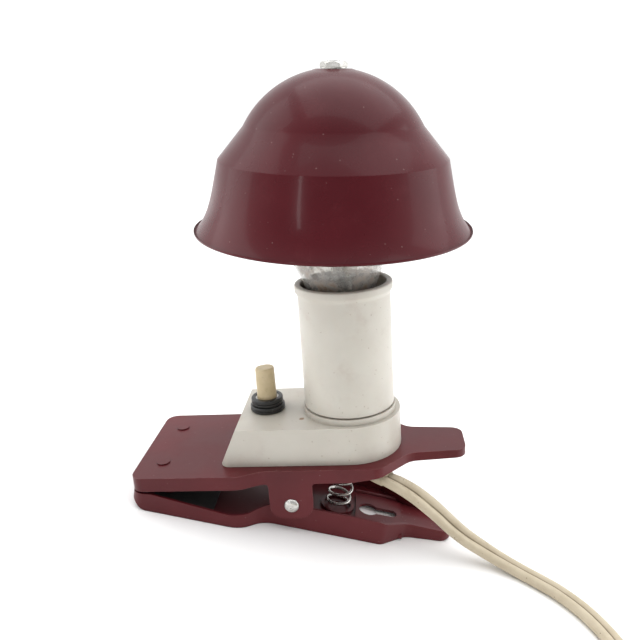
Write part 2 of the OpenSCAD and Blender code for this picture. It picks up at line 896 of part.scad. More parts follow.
module cord_clamp() {
    reach = norm(clamp_spots[1] - clamp_spots[0]) / 2;
    color("tan") along_clamp() difference() {
        translate([-reach - 2.6, -2.6, clamp_z]) cube([2 * reach + 5.2, 5.2, clamp_t]);
        for (s = [-1, 1]) translate([s * reach, 0, 0]) disc(screw_r + fixed_gap, clamp_z - 1, clamp_z + 3);
    }
}

module cord_clamp_screws() {
    reach = norm(clamp_spots[1] - clamp_spots[0]) / 2;
    color(steel) along_clamp() for (s = [-1, 1]) translate([s * reach, 0, 0]) {
        disc(screw_r, 0, clamp_z + clamp_t);
        disc(screw_r + 1, fibre_t, clamp_z);
        translate([0, 0, clamp_z + clamp_t]) pan_head();
    }
}

// Bulb, in its own frame: the contact's tip is the origin
cap_top = 27;
glass_t = 0.7;
cone_slope = 0.42;
cone_angle = atan(cone_slope);

module bulb_contact() {
    color("silver") bulb_frame() rotate_extrude() polygon([
        [0, 0],
        [2.6, 0.2],
        [4.4, 1],
        [4.6, 1.6],
        [0, 1.6]
    ]);
}

module bulb_insulator() {
    color(black) bulb_frame() rotate_extrude() polygon([
        [0, 1.6],
        [5.4, 1.6],
        [11.2, 4.6],
        [11.2, 5.2],
        [0, 5.2]
    ]);
}

thread_pitch = 3.6;
thread_from = 6.5;
thread_count = 5;
thread_depth = 0.9;

module bulb_cap() {
    outer = concat(
        [[10.4, 5.2], [cap_r - thread_depth, 5.8]],
        [for (k = [0 : thread_count - 1], a = [0 : 30 : 180])
            [cap_r - thread_depth * (1 - sin(a)), thread_from + (k + a / 180 * 0.75) * thread_pitch]],
        [[cap_r - thread_depth, cap_top - 2.4], [cap_r, cap_top - 1.8], [cap_r, cap_top]]
    );
    color(steel) bulb_frame() rotate_extrude() polygon(concat(outer, [
        [cap_r - 0.3, cap_top],
        [cap_r - 0.3, cap_top - 2],
        [cap_r - thread_depth - 0.3, cap_top - 3],
        [cap_r - thread_depth - 0.3, 6.2],
        [10.4, 5.8]
    ]));
}

function bulb_outline(d) = concat(
    [[cap_r - 0.7 - d, cap_top - 1.6], [cap_r - 0.4 - d, cap_top + 1.6], [15.3 - d, 34]],
    [for (a = [-cone_angle : 7.5 : 89]) [(bulb_r - d) * cos(a), bulb_mid + (bulb_r - d) * sin(a)]]
);

module bulb_glass() {
    outer = bulb_outline(0);
    inner = bulb_outline(glass_t);
    n = len(inner) - 1;
    color(glass) bulb_frame() rotate_extrude() polygon(concat(
        outer,
        [[0, bulb_mid + bulb_r], [0, bulb_mid + bulb_r - glass_t]],
        [for (i = [n : -1 : 0]) inner[i]]
    ));
}

stem_top = 50;

module bulb_stem() {
    color(glass) bulb_frame() {
        rotate_extrude() polygon([
            [7, cap_top - 4],
            [11, cap_top - 4],
            [11, cap_top - 3.2],
            [6.4, cap_top + 1],
            [4, cap_top + 8],
            [3.6, stem_top - 4],
            [2.4, stem_top],
            [0, stem_top],
            [0, stem_top - 6],
            [2.6, stem_top - 8],
            [3, cap_top + 8],
            [5.4, cap_top + 1]
        ]);
        disc(1, stem_top, stem_top + 14);
        disc(1.8, stem_top + 14, stem_top + 16);
    }
}

lead_out = [13, 74];
lower_lead_r = 0.4;
upper_lead_r = 0.35;
hook_y = 9;
hook_r = 0.2;
coiled_r = 0.22;

module rod(a, b, r) {
    d = b - a;
    translate(a) rotate([0, acos(d.z / norm(d)), atan2(d.y, d.x)]) cylinder(r = r, h = norm(d), $fn = 16);
}

module bulb_leads() {
    color("dimgray") bulb_frame() {
        for (s = [-1, 1]) {
            rod([s * 1.2, 0, 7], [s * 1.2, 0, stem_top - 7], lower_lead_r);
            rod([s * 2.9, 0, stem_top - 2], [s * lead_out[0], 0, lead_out[1]], upper_lead_r);
            rod([0, s * 1.3, stem_top + 15], [0, s * hook_y, lead_out[1] + 4], hook_r);
        }
    }
}

module bulb_filament() {
    color("gray") bulb_frame() for (s = [-1, 1]) {
        rod([s * (lead_out[0] - 0.5), 0.4, lead_out[1]], [0, hook_y, lead_out[1] + 4.2], coiled_r);
        rod([s * (lead_out[0] - 0.5), -0.4, lead_out[1]], [0, -hook_y, lead_out[1] + 4.2], coiled_r);
    }
}

// Shade clip: two sprung wire hoops that lie on the bulb, in the shade's frame
hoop_wire = 0.8;
hoop_angle = 53;
hoop_tilt = 55.4;
hoop_ball = bulb_r + hoop_wire + move_gap;
plate_z = bulb_r + move_gap + 2 * hoop_wire;
plate_t = 1;

module clip_wires() {
    color(steel) shade_frame() both_y() rotate([hoop_tilt, 0, 0])
        translate([0, 0, hoop_ball * cos(hoop_angle)]) rotate_extrude()
            translate([hoop_ball * sin(hoop_angle), 0]) circle(r = hoop_wire, $fn = 16);
}

module clip_plate() {
    color(steel) shade_frame() difference() {
        translate([-7, -5, plate_z]) cube([14, 10, plate_t]);
        disc(stud_r + fixed_gap, plate_z - 1, plate_z + 3);
    }
}

stud_r = 2.5;
shade_top = shade_h - rim_drop;
washer_t = 0.8;
washer_r = 6;
flat_r = 6.4;
nut_t = 2;
stud_proud = 0.2;
flat_drop = 0.4;
flat_rise = 0.15;
flat_washer_t = 0.4;
collar_w = 1.4;
collar_t = 1.2;
nut_bevel = 0.8;

// The flat on the shade's top that the washers and the nut bear on
flat_z = shade_top - flat_drop;
inner_nut_z = flat_z - shade_t - flat_rise - washer_t - nut_t;

module shade_stud() {
    color(steel) shade_frame() {
        disc(stud_r, plate_z, flat_z + flat_rise + flat_washer_t + nut_t + stud_proud);
        disc(stud_r + collar_w, plate_z + plate_t, plate_z + plate_t + collar_t);
    }
}

module hex_nut(w, h) {
    difference() {
        intersection() {
            cylinder(d = w, h = h, $fn = 6);
            rotate_extrude() polygon([
                [0, 0],
                [w / 2, 0],
                [w / 2, h - nut_bevel],
                [w / 2 - nut_bevel, h],
                [0, h]
            ]);
        }
        translate([0, 0, -1]) cylinder(r = stud_r + fixed_gap, h = h + 2);
    }
}

module shade_inner_nut() {
    color(steel) shade_frame() translate([0, 0, inner_nut_z]) hex_nut(nut_w - 1, nut_t);
}

module shade_washers() {
    color(steel) shade_frame() {
        ring(washer_r, stud_r + fixed_gap, inner_nut_z + nut_t, inner_nut_z + nut_t + washer_t);
        ring(washer_r - 1, stud_r + fixed_gap, flat_z + flat_rise, flat_z + flat_rise + flat_washer_t);
    }
}

module shade_hex_nut() {
    color(steel) shade_frame() translate([0, 0, flat_z + flat_rise + flat_washer_t]) hex_nut(nut_w, nut_t);
}

// Shade's outline by height above its rim: dome, cone down to the crease, flared skirt
flare_line = 6.2;
flare_power = 5;
dome_to = 62;

function skirt_point(u) =
    [crease_r + flare_line * u + (shade_r - crease_r - flare_line) * pow(u, flare_power), skirt_h * (1 - u)];

shade_path = concat(
    [for (u = [1 : -1 / 12 : 0.01]) skirt_point(u)],
    [[crease_r, skirt_h]],
    [for (a = [dome_to : -5 : 12]) [dome_r * sin(a), shade_h - dome_r + dome_r * cos(a)]],
    [[flat_r, shade_h - flat_drop]]
);
bead_r = 0.8;

function thinned(path, d) =
    [for (i = [0 : len(path) - 1]) path[i] + d * turn90(tangent(path, i))];

module shade() {
    inner = thinned(shade_path, shade_t);
    n = len(inner) - 1;
    outline = concat(
        shade_path,
        [[stud_r + run_gap, shade_h - flat_drop], [stud_r + run_gap, shade_h - flat_drop - shade_t]],
        [for (i = [n : -1 : 0]) inner[i]]
    );
    color(burgundy) shade_frame() translate([0, 0, -rim_drop]) {
        rotate_extrude() polygon(outline);
        rotate_extrude() translate([shade_r - bead_r, bead_r]) circle(r = bead_r, $fn = 16);
    }
}

// Coil of the rest of the cord, its tie and its plug
coil_half_w = cord_w;
coil_h = coil_layers * cord_t + 0.4;

module cord_coil() {
    color(cream) translate([coil_mid.x, coil_mid.y, 0]) ring(coil_r + coil_half_w, coil_r - coil_half_w, 0, coil_h);
}

tie_t = 1;
tie_w = 7;
tie_turn = 150;

module cord_tie() {
    in = [coil_r - coil_half_w - 0.1, coil_r + coil_half_w + 0.1];
    color(black) translate([coil_mid.x, coil_mid.y, 0]) rotate(tie_turn) difference() {
        translate([in[0] - tie_t, -tie_w / 2, 0]) cube([in[1] - in[0] + 2 * tie_t, tie_w, coil_h + tie_t]);
        ring_cut(in);
    }
}

module ring_cut(in) {
    rotate(-tie_turn) ring(in[1], in[0], -1, coil_h + 0.02);
}

plug_at = [34, -173];
plug_turn = 143;
relief_l = 24;
relief_r = [4.6, 6];
relief_ribs = 5;
rib_pitch = 3.8;
rib_proud = 0.7;
rib_grow = 0.2;
rib_l = 1.6;
plug_l = 34;
plug_z = plug_t / 2;

pin_root_r = 1.6;
pin_root_l = 9;
pin_tip_l = 1;

module at_plug() {
    translate([plug_at.x, plug_at.y, plug_z]) rotate(plug_turn) children();
}

module plug_relief() {
    color(ivory) at_plug() rotate([0, 90, 0]) {
        cylinder(r1 = relief_r[0], r2 = relief_r[1], h = relief_l);
        for (k = [1 : relief_ribs]) translate([0, 0, k * rib_pitch])
            cylinder(r = relief_r[0] + rib_proud + k * rib_grow, h = rib_l);
    }
}

module plug_body() {
    outline = rounded(both_sides([
        [relief_l, -7, 2],
        [relief_l + 10, -9, 8],
        [relief_l + 22, -16, 10],
        [relief_l + plug_l, -17.5, 3]
    ]));
    color(ivory) at_plug() difference() {
        translate([0, 0, -plug_t / 2]) linear_extrude(plug_t) polygon(outline);
        for (s = [-1, 1]) translate([relief_l + plug_l + 1, s * plug_pin_gap / 2, 0]) rotate([0, -90, 0])
            cylinder(r = pin_root_r + fixed_gap, h = pin_root_l + 1);
    }
}

module plug_pins() {
    color(steel) at_plug() for (s = [-1, 1]) translate([relief_l + plug_l, s * plug_pin_gap / 2, 0])
        rotate([0, 90, 0]) {
            translate([0, 0, -pin_root_l]) cylinder(r = pin_root_r, h = pin_root_l + 1);
            cylinder(r = plug_pin_r, h = plug_pin_l - pin_tip_l);
            translate([0, 0, plug_pin_l - pin_tip_l])
                cylinder(r1 = plug_pin_r, r2 = plug_pin_r - 0.8, h = pin_tip_l);
        }
}

upper_jaw();
upper_jaw_pad();
upper_pad_rivets();
pivot_pin();
pivot_spacers();
lower_jaw();
lower_jaw_pad();
lower_pad_rivets();
clip_spring();
housing();
insulating_sheet();
housing_screws();
switch_body();
switch_bushing();
switch_lock_ring();
switch_ring_nut();
switch_terminals();
push_button();
button_spring();
holder_skirt();
holder_insert();
holder_shell();
holder_contact();
holder_screws();
holder_terminals();
lead_to_switch();
lead_to_holder();
lead_switched();
cord_grommet();
cord_clamp();
cord_clamp_screws();
bulb_glass();
bulb_cap();
bulb_insulator();
bulb_contact();
bulb_stem();
bulb_leads();
bulb_filament();
clip_wires();
clip_plate();
shade_stud();
shade_inner_nut();
shade_washers();
shade();
shade_hex_nut();
cord();
cord_coil();
cord_tie();
plug_relief();
plug_body();
plug_pins();
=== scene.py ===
import json
import math

import bmesh
import bpy
import numpy as np
from mathutils import Matrix, Vector


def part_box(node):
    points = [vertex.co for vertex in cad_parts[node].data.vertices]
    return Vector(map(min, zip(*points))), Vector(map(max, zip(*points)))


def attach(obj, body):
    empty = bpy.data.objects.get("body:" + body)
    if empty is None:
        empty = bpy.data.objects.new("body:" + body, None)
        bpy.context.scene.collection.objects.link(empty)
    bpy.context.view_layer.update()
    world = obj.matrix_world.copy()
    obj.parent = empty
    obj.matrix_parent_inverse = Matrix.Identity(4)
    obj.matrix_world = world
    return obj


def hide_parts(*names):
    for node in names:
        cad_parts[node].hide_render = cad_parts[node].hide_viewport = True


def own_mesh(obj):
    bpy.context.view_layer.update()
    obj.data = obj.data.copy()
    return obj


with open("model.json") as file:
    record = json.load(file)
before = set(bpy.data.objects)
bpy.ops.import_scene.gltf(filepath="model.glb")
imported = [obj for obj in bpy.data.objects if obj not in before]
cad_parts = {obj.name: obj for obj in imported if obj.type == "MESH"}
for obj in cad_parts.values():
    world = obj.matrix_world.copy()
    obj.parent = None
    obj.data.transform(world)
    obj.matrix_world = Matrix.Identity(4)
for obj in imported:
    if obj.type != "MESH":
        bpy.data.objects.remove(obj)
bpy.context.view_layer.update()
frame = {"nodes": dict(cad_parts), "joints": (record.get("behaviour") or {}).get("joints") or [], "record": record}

MM = 0.001
nodes = frame["nodes"]
joints = {j["name"]: j for j in frame["joints"]}
LAMP, JAW, BUTTON = "lamp_body", "lower_jaw_body", "button_body"
BULB, SHADE_CLIP, SHADE = "bulb_body", "shade_clip_body", "shade_body"


# ---------------------------------------------------------------- frames of reference
def axis_frame(origin, axis, side=(1, 0, 0)):
    """A matrix whose Z is axis, with X as near to side as it can be."""
    z = Vector(axis).normalized()
    x = Vector(side)
    x = (x - x.dot(z) * z).normalized()
    y = z.cross(x)
    m = Matrix((x, y, z)).transposed().to_4x4()
    m.translation = Vector(origin)
    return m


PIVOT_BACK = 24.7 * MM
PIVOT_DROP = 16 * MM
SWITCH_BACK = 35.4 * MM
CONTACT_Z = 38 * MM

pivot = Vector(joints["clip_open"]["pos_m"])
lamp_up = -Vector(joints["button_press"]["axis"])
lamp_out = Vector((lamp_up.z, 0, -lamp_up.x))
lamp_at = axis_frame(pivot + PIVOT_BACK * lamp_out + PIVOT_DROP * lamp_up, lamp_up, lamp_out)
switch_at = lamp_at @ Matrix.Translation((-SWITCH_BACK, 0, 0))
bulb_at = axis_frame(lamp_at @ Vector((0, 0, CONTACT_Z)), joints["bulb_pull"]["axis"], lamp_out)
shade_at = axis_frame(joints["shade_turn"]["pos_m"], joints["shade_turn"]["axis"], lamp_out)
pin_at = axis_frame(pivot, (0, -1, 0), (1, 0, 0))


# ---------------------------------------------------------------- camera
def make_camera():
    right = Vector((0.98171, 0.07309, 0.17582))
    up = Vector((-0.18983, 0.30357, 0.93371))
    ahead = Vector((-0.01487, 0.95000, -0.31189))
    data = bpy.data.cameras.new("camera")
    data.sensor_width = 36
    data.lens = 38.876
    data.clip_start = 0.01
    camera = bpy.data.objects.new("camera", data)
    bpy.context.scene.collection.objects.link(camera)
    m = Matrix((right, up, -ahead)).transposed().to_4x4()
    m.translation = Vector((0.00120, -0.27156, 0.17503))
    camera.matrix_world = m
    bpy.context.scene.camera = camera


make_camera()


# ---------------------------------------------------------------- mesh helpers
def new_piece(name, verts, faces, sharp=35):
    mesh = bpy.data.meshes.new(name)
    mesh.from_pydata([tuple(v) for v in verts], [], faces)
    mesh.validate()
    mesh.polygons.foreach_set("use_smooth", [True] * len(mesh.polygons))
    mesh.set_sharp_from_angle(angle=math.radians(sharp))
    piece = bpy.data.objects.new(name, mesh)
    bpy.context.scene.collection.objects.link(piece)
    return piece


def finish_piece(piece, body, material, replaced=()):
    piece.data.materials.clear()
    piece.data.materials.append(material)
    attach(piece, body)
    if replaced:
        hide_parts(*replaced)
    return piece


def lathe(name, profile, at, around=96, closed=True, sharp=35):
    """Turns a profile of (radius, height) in millimetres round the Z axis of a frame."""
    verts, faces = [], []
    n = len(profile)
    rings = []
    for r, z in profile:
        if r < 1e-6:
            rings.append([len(verts)] * around)
            verts.append(at @ Vector((0, 0, z * MM)))
            continue
        rings.append(range(len(verts), len(verts) + around))
        for k in range(around):
            a = 2 * math.pi * k / around
            verts.append(at @ Vector((r * math.cos(a) * MM, r * math.sin(a) * MM, z * MM)))
    for i in range(n if closed else n - 1):
        lower, upper = rings[i], rings[(i + 1) % n]
        if len(set(lower)) == 1 and len(set(upper)) == 1:
            continue
        for k in range(around):
            quad = [lower[k], lower[(k + 1) % around], upper[(k + 1) % around], upper[k]]
            faces.append([v for j, v in enumerate(quad) if v not in quad[:j]])
    return new_piece(name, verts, faces, sharp)


def arc(cx, cz, r, start, end, steps):
    """Points of an arc of a profile, its angles in degrees from the radius direction."""
    return [
        (cx + r * math.cos(math.radians(a)), cz + r * math.sin(math.radians(a)))
        for a in np.linspace(start, end, steps)
    ]


def tube(name, line, normals, section, grow=None, sharp=50):
    """Sweeps a section of (across, up) points along a line, with the given up directions."""
    line = np.array(line, float)
    step = np.gradient(line, axis=0)
    step /= np.linalg.norm(step, axis=1)[:, None]
    up = np.array(normals, float)
    up -= (up * step).sum(1)[:, None] * step
    up /= np.linalg.norm(up, axis=1)[:, None]
    across = np.cross(step, up)
    size = np.ones(len(line)) if grow is None else np.array(grow, float)
    sec = np.array(section, float)
    offsets = sec[None, :, :1] * across[:, None, :] + sec[None, :, 1:] * up[:, None, :]
    rings = line[:, None, :] + size[:, None, None] * offsets
    count, sides = len(line), len(sec)
    faces = []
    for i in range(count - 1):
        for j in range(sides):
            a, b = i * sides + j, i * sides + (j + 1) % sides
            faces.append([a, b, b + sides, a + sides])
    faces.append(list(range(sides))[::-1])
    faces.append([(count - 1) * sides + j for j in range(sides)])
    return new_piece(name, rings.reshape(-1, 3), faces, sharp)


def softened(name, node, width, segments=3, angle=28):
    """A copy of a CAD node with joined faces and rounded edges, whose middles are worn_edge."""
    mesh = nodes[node].data.copy()
    mesh.name = name
    bm = bmesh.new()
    bm.from_mesh(mesh)
    bmesh.ops.remove_doubles(bm, verts=bm.verts, dist=2e-6)
    bmesh.ops.dissolve_limit(bm, angle_limit=math.radians(1.5), verts=bm.verts, edges=bm.edges)
    limit = math.radians(angle)
    edges = [
        e for e in bm.edges
        if len(e.link_faces) == 2 and e.calc_face_angle(0) > limit
    ]
    made = bmesh.ops.bevel(
        bm, geom=edges, offset=width, segments=segments, profile=0.5,
        affect="EDGES", clamp_overlap=True,
    )
    strip = set(made["faces"])
    bm.normal_update()
    bm.verts.index_update()
    worn = [1.0 if all(f in strip for f in v.link_faces) else 0.0 for v in bm.verts]
    bm.to_mesh(mesh)
    bm.free()
    mesh.attributes.new("worn_edge", "FLOAT", "POINT").data.foreach_set("value", worn)
    mesh.polygons.foreach_set("use_smooth", [True] * len(mesh.polygons))
    mesh.set_sharp_from_angle(angle=math.radians(50))
    piece = bpy.data.objects.new(name, mesh)
    bpy.context.scene.collection.objects.link(piece)
    even = piece.modifiers.new("even_normals", "WEIGHTED_NORMAL")
    even.keep_sharp = True
    return piece


# ---------------------------------------------------------------- material helpers
class Recipe:
    """A material under construction: node() adds a node and links or sets its inputs."""

    def __init__(self, name):
        self.material = bpy.data.materials.new(name)
        self.material.use_nodes = True
        self.tree = self.material.node_tree
        self.tree.nodes.clear()
        self.place = self.node("ShaderNodeTexCoord").outputs["Object"]

    def node(self, kind, inputs=None, **settings):
        made = self.tree.nodes.new(kind)
        for key, value in settings.items():
            setattr(made, key, value)
        for key, value in (inputs or {}).items():
            socket = made.inputs[key]
            if isinstance(value, bpy.types.NodeSocket):
                self.tree.links.new(value, socket)
            else:
                socket.default_value = value
        return made

    def noise(self, scale, detail=4.0, roughness=0.55, vector=None):
        inputs = {"Vector": vector or self.place, "Scale": scale}
        inputs |= {"Detail": detail, "Roughness": roughness}
        return self.node("ShaderNodeTexNoise", inputs).outputs["Fac"]

    def stretched(self, scale, turn=(0, 0, 0)):
        return self.node(
            "ShaderNodeMapping", {"Vector": self.place, "Scale": scale, "Rotation": turn}
        ).outputs["Vector"]

    def ramp(self, fac, low, high, start=0.0, end=1.0):
        """Maps fac from low..high to start..end, held at both ends."""
        made = self.node(
            "ShaderNodeMapRange",
            {"Value": fac, "From Min": low, "From Max": high, "To Min": start, "To Max": end},
            interpolation_type="SMOOTHSTEP",
        )
        return made.outputs["Result"]

    def math(self, operation, a, b=0.5):
        return self.node("ShaderNodeMath", {0: a, 1: b}, operation=operation).outputs[0]

    def mix(self, fac, a, b):
        made = self.node("ShaderNodeMix", data_type="RGBA")
        for key, value in ((0, fac), (6, a), (7, b)):
            if isinstance(value, bpy.types.NodeSocket):
                self.tree.links.new(value, made.inputs[key])
            elif key == 0:
                made.inputs[key].default_value = value
            else:
                made.inputs[key].default_value = (*value[:3], 1)
        return made.outputs[2]

    def spots(self, scale, size, share, stretch=(1, 1, 1), turn=(0, 0, 0)):
        """Scattered spots: 1 inside a spot and 0 outside. share is how many cells have one."""
        where = self.stretched(stretch, turn)
        cells = self.node(
            "ShaderNodeTexVoronoi", {"Vector": where, "Scale": scale, "Randomness": 1.0}
        )
        picked = self.node("ShaderNodeSeparateColor", {"Color": cells.outputs["Color"]})
        chosen = self.ramp(picked.outputs[0], share, share - 0.004)
        rough = self.noise(scale * 4, 2.0)
        ragged = self.ramp(rough, 0.2, 0.8, 0.6, 1.5)
        reach = self.math("MULTIPLY", cells.outputs["Distance"], ragged)
        inside = self.ramp(reach, size, size * 0.55)
        return self.math("MULTIPLY", inside, chosen)

    def corners(self, distance, low=0.35, high=0.95):
        """1 in creases and corners, from ambient occlusion, 0 on open faces; colour darkened by it there is
        painted shade.
        """
        made = self.node("ShaderNodeAmbientOcclusion", {"Distance": distance}, samples=6)
        return self.ramp(made.outputs["AO"], high, low)

    def edges(self, low, high):
        """1 on worn outer edges, which pieces mark as worn_edge; on the enamels the lighter colour there is also a
        painted highlight.
        """
        worn = self.node("ShaderNodeAttribute", attribute_name="worn_edge").outputs["Fac"]
        return self.ramp(worn, low, high)

    def bump(self, height, distance, strength=0.5, below=None):
        inputs = {"Height": height, "Distance": distance, "Strength": strength}
        if below is not None:
            inputs["Normal"] = below
        return self.node("ShaderNodeBump", inputs).outputs["Normal"]

    def done(self, **sockets):
        shader = self.node("ShaderNodeBsdfPrincipled")
        for key, value in sockets.items():
            socket = shader.inputs[key.replace("_", " ")]
            if isinstance(value, bpy.types.NodeSocket):
                self.tree.links.new(value, socket)
            elif isinstance(value, tuple):
                socket.default_value = (*value[:3], 1)
            else:
                socket.default_value = value
        out = self.node("ShaderNodeOutputMaterial")
        self.tree.links.new(shader.outputs["BSDF"], out.inputs["Surface"])
        return self.material


def burgundy(name, deep, fresh, roughness, coat, edge_wear_and_highlight):
    """Old enamel over steel: uneven depth of colour, fine scratches, dust and chips, painted shade in creases, and
    worn edges with a painted highlight.
    """
    r = Recipe(name)
    cloud = r.noise(22, 3.0)
    colour = r.mix(r.ramp(cloud, 0.3, 0.7), deep, fresh)
    bloom = r.noise(90, 6.0, 0.7)
    colour = r.mix(r.ramp(bloom, 0.55, 0.85, 0.0, 0.18), colour, (0.17, 0.05, 0.055))
    # Lighter paint on the marked edges: worn paint, and a painted highlight along them.
    edge_mark = r.math("MULTIPLY", r.edges(0.45, 1.0), r.ramp(r.noise(160, 3.0), 0.35, 0.6))
    colour = r.mix(r.math("MULTIPLY", edge_mark, edge_wear_and_highlight), colour, (0.42, 0.20, 0.19))
    # Near-black paint in creases and corners, from the occlusion mask: painted shade.
    corner_darkening = r.corners(0.004, 0.25, 0.8)
    colour = r.mix(r.math("MULTIPLY", corner_darkening, 0.55), colour, (0.030, 0.010, 0.012))
    dust = r.spots(900, 0.22, 0.04)
    colour = r.mix(r.math("MULTIPLY", dust, 0.35), colour, (0.35, 0.24, 0.23))
    scrape = r.spots(46, 0.11, 0.05, (1.0, 1.0, 0.10), (0.0, 0.75, 0.35))
    colour = r.mix(r.math("MULTIPLY", scrape, 0.55), colour, (0.40, 0.22, 0.21))
    chips = r.spots(120, 0.085, 0.02)
    colour = r.mix(chips, colour, (0.50, 0.40, 0.38))
    rough = r.ramp(r.noise(45, 5.0), 0.3, 0.75, roughness - 0.05, roughness + 0.08)
    scratch = r.noise(70, 2.0, 0.5, r.stretched((1, 14, 1), (0.3, 0.5, 0.9)))
    normal = r.bump(r.noise(320, 2.0), 0.00006, 0.35)
    normal = r.bump(scratch, 0.00002, 0.25, normal)
    return r.done(
        Base_Color=colour, Roughness=rough, Coat_Weight=coat, Coat_Roughness=0.12,
        Normal=normal, Specular_IOR_Level=0.22,
    )


def shade_enamel():
    """The shade's gloss enamel, with fine spun lines round the dome."""
    r = Recipe("shade_enamel")
    cloud = r.noise(16, 3.0)
    colour = r.mix(r.ramp(cloud, 0.3, 0.7), (0.060, 0.0040, 0.0075), (0.084, 0.0075, 0.012))
    mottle = r.noise(60, 6.0, 0.7)
    colour = r.mix(r.ramp(mottle, 0.5, 0.85, 0.0, 0.16), colour, (0.19, 0.05, 0.055))
    # Lighter enamel on marked edges: worn enamel, and a painted highlight along them.
    edge_mark = r.math("MULTIPLY", r.edges(0.3, 1.0), r.ramp(r.noise(190, 3.0), 0.4, 0.6))
    colour = r.mix(r.math("MULTIPLY", edge_mark, 0.25), colour, (0.36, 0.16, 0.15))
    dust = r.spots(700, 0.22, 0.025)
    colour = r.mix(r.math("MULTIPLY", dust, 0.22), colour, (0.45, 0.30, 0.28))
    chips = r.spots(75, 0.060, 0.008)
    colour = r.mix(chips, colour, (0.66, 0.58, 0.54))
    rough = r.ramp(r.noise(38, 5.0), 0.3, 0.75, 0.22, 0.34)
    lines = r.noise(420, 2.0, 0.5, r.stretched((0.02, 0.02, 1.0), (0.062, 0.174, 0)))
    normal = r.bump(lines, 0.00003, 0.18)
    normal = r.bump(r.noise(240, 2.0), 0.00005, 0.22, normal)
    return r.done(
        Base_Color=colour, Roughness=rough, Coat_Weight=0.10, Coat_Roughness=0.08,
        Normal=normal, Specular_IOR_Level=0.14,
    )


def ivory():
    """Aged white moulding: yellow and pinkish clouds, soiling and painted shade in corners, chips and pits."""
    r = Recipe("ivory_plastic")
    colour = r.mix(r.ramp(r.noise(28, 4.0), 0.3, 0.7), (0.545, 0.515, 0.455), (0.615, 0.59, 0.525))
    colour = r.mix(r.ramp(r.noise(75, 5.0, 0.7), 0.52, 0.75, 0.0, 0.32), colour, (0.44, 0.36, 0.31))
    patchy = r.ramp(r.noise(120, 5.0), 0.25, 0.6, 0.3, 1.0)
    # Dark brown in corners from the occlusion mask, in patches: soiling and painted shade.
    corner_darkening = r.math("MULTIPLY", r.corners(0.0045, 0.25, 0.92), patchy)
    colour = r.mix(r.math("MULTIPLY", corner_darkening, 0.62), colour, (0.22, 0.18, 0.13))
    edge_mark = r.math("MULTIPLY", r.edges(0.3, 1.0), r.ramp(r.noise(70, 4.0), 0.4, 0.62))
    colour = r.mix(r.math("MULTIPLY", edge_mark, 0.7), colour, (0.40, 0.27, 0.13))
    dust = r.spots(620, 0.20, 0.12)
    colour = r.mix(r.math("MULTIPLY", dust, 0.55), colour, (0.30, 0.22, 0.17))
    chips = r.spots(110, 0.15, 0.07, (1.0, 1.0, 0.45), (0.0, 0.62, 0.0))
    colour = r.mix(chips, colour, (0.27, 0.15, 0.07))
    rough = r.ramp(r.noise(60, 4.0), 0.3, 0.7, 0.33, 0.48)
    normal = r.bump(r.noise(260, 3.0), 0.00006, 0.3)
    normal = r.bump(r.math("SUBTRACT", 1.0, r.math("MAXIMUM", chips, dust)), 0.00015, 0.6, normal)
    return r.done(
        Base_Color=colour, Roughness=rough, Normal=normal, Subsurface_Weight=0.04,
        Subsurface_Scale=0.002, Coat_Weight=0.12, Coat_Roughness=0.25,
    )


def moulded(name, light, dark, stain_and_shade, roughness, bump=0.00006, speck=(0.2, 0.15, 0.1)):
    """A small moulded plastic piece with uneven colour, handling marks and specks, and painted shade in its
    corners.
    """
    r = Recipe(name)
    colour = r.mix(r.ramp(r.noise(130, 4.0), 0.3, 0.7), light, dark)
    colour = r.mix(r.ramp(r.noise(260, 5.0, 0.7), 0.55, 0.8, 0.0, 0.45), colour, stain_and_shade)
    # The same darker tint in corners, from the occlusion mask: painted shade.
    colour = r.mix(r.math("MULTIPLY", r.corners(0.002, 0.3, 0.9), 0.5), colour, stain_and_shade)
    specks = r.spots(900, 0.22, 0.08)
    colour = r.mix(r.math("MULTIPLY", specks, 0.6), colour, speck)
    rough = r.ramp(r.noise(150, 4.0), 0.3, 0.7, roughness - 0.06, roughness + 0.08)
    normal = r.bump(r.noise(500, 3.0), bump, 0.4)
    return r.done(Base_Color=colour, Roughness=rough, Normal=normal)


def metal(name, light, dark, roughness, tarnish_and_shade=(0.12, 0.10, 0.08), streak=(1, 1, 12)):
    """Plain or plated metal: fine drawn lines, dull oxidised patches, and the oxide tint with painted shade in the
    corners.
    """
    r = Recipe(name)
    colour = r.mix(r.ramp(r.noise(180, 4.0), 0.3, 0.7), light, dark)
    dull = r.ramp(r.noise(90, 5.0, 0.7), 0.5, 0.75)
    colour = r.mix(r.math("MULTIPLY", dull, 0.35), colour, tarnish_and_shade)
    # The oxide tint in corners, from the occlusion mask: oxide and painted shade.
    colour = r.mix(r.math("MULTIPLY", r.corners(0.0015, 0.3, 0.9), 0.6), colour, tarnish_and_shade)
    rough = r.ramp(dull, 0.0, 1.0, roughness, roughness + 0.22)
    lines = r.noise(300, 3.0, 0.6, r.stretched(streak))
    normal = r.bump(lines, 0.00003, 0.3)
    return r.done(Base_Color=colour, Roughness=rough, Metallic=0.95, Normal=normal)


def glass(name, tint, haze):
    """Clear glass with a dusty film and brown-grey marks."""
    r = Recipe(name)
    film = r.ramp(r.noise(150, 6.0, 0.7), 0.38, 0.7)
    marks = r.math("MULTIPLY", film, r.ramp(r.noise(50, 3.0), 0.3, 0.6))
    colour = r.mix(marks, tint, (0.28, 0.20, 0.14))
    clear = r.ramp(marks, 0.0, 1.0, 0.97 - haze, 0.30)
    rough = r.ramp(film, 0.0, 1.0, 0.02, 0.25)
    normal = r.bump(r.noise(90, 2.0), 0.0001, 0.15)
    return r.done(
        Base_Color=colour, Transmission_Weight=clear, Roughness=rough, IOR=1.45, Normal=normal,
    )


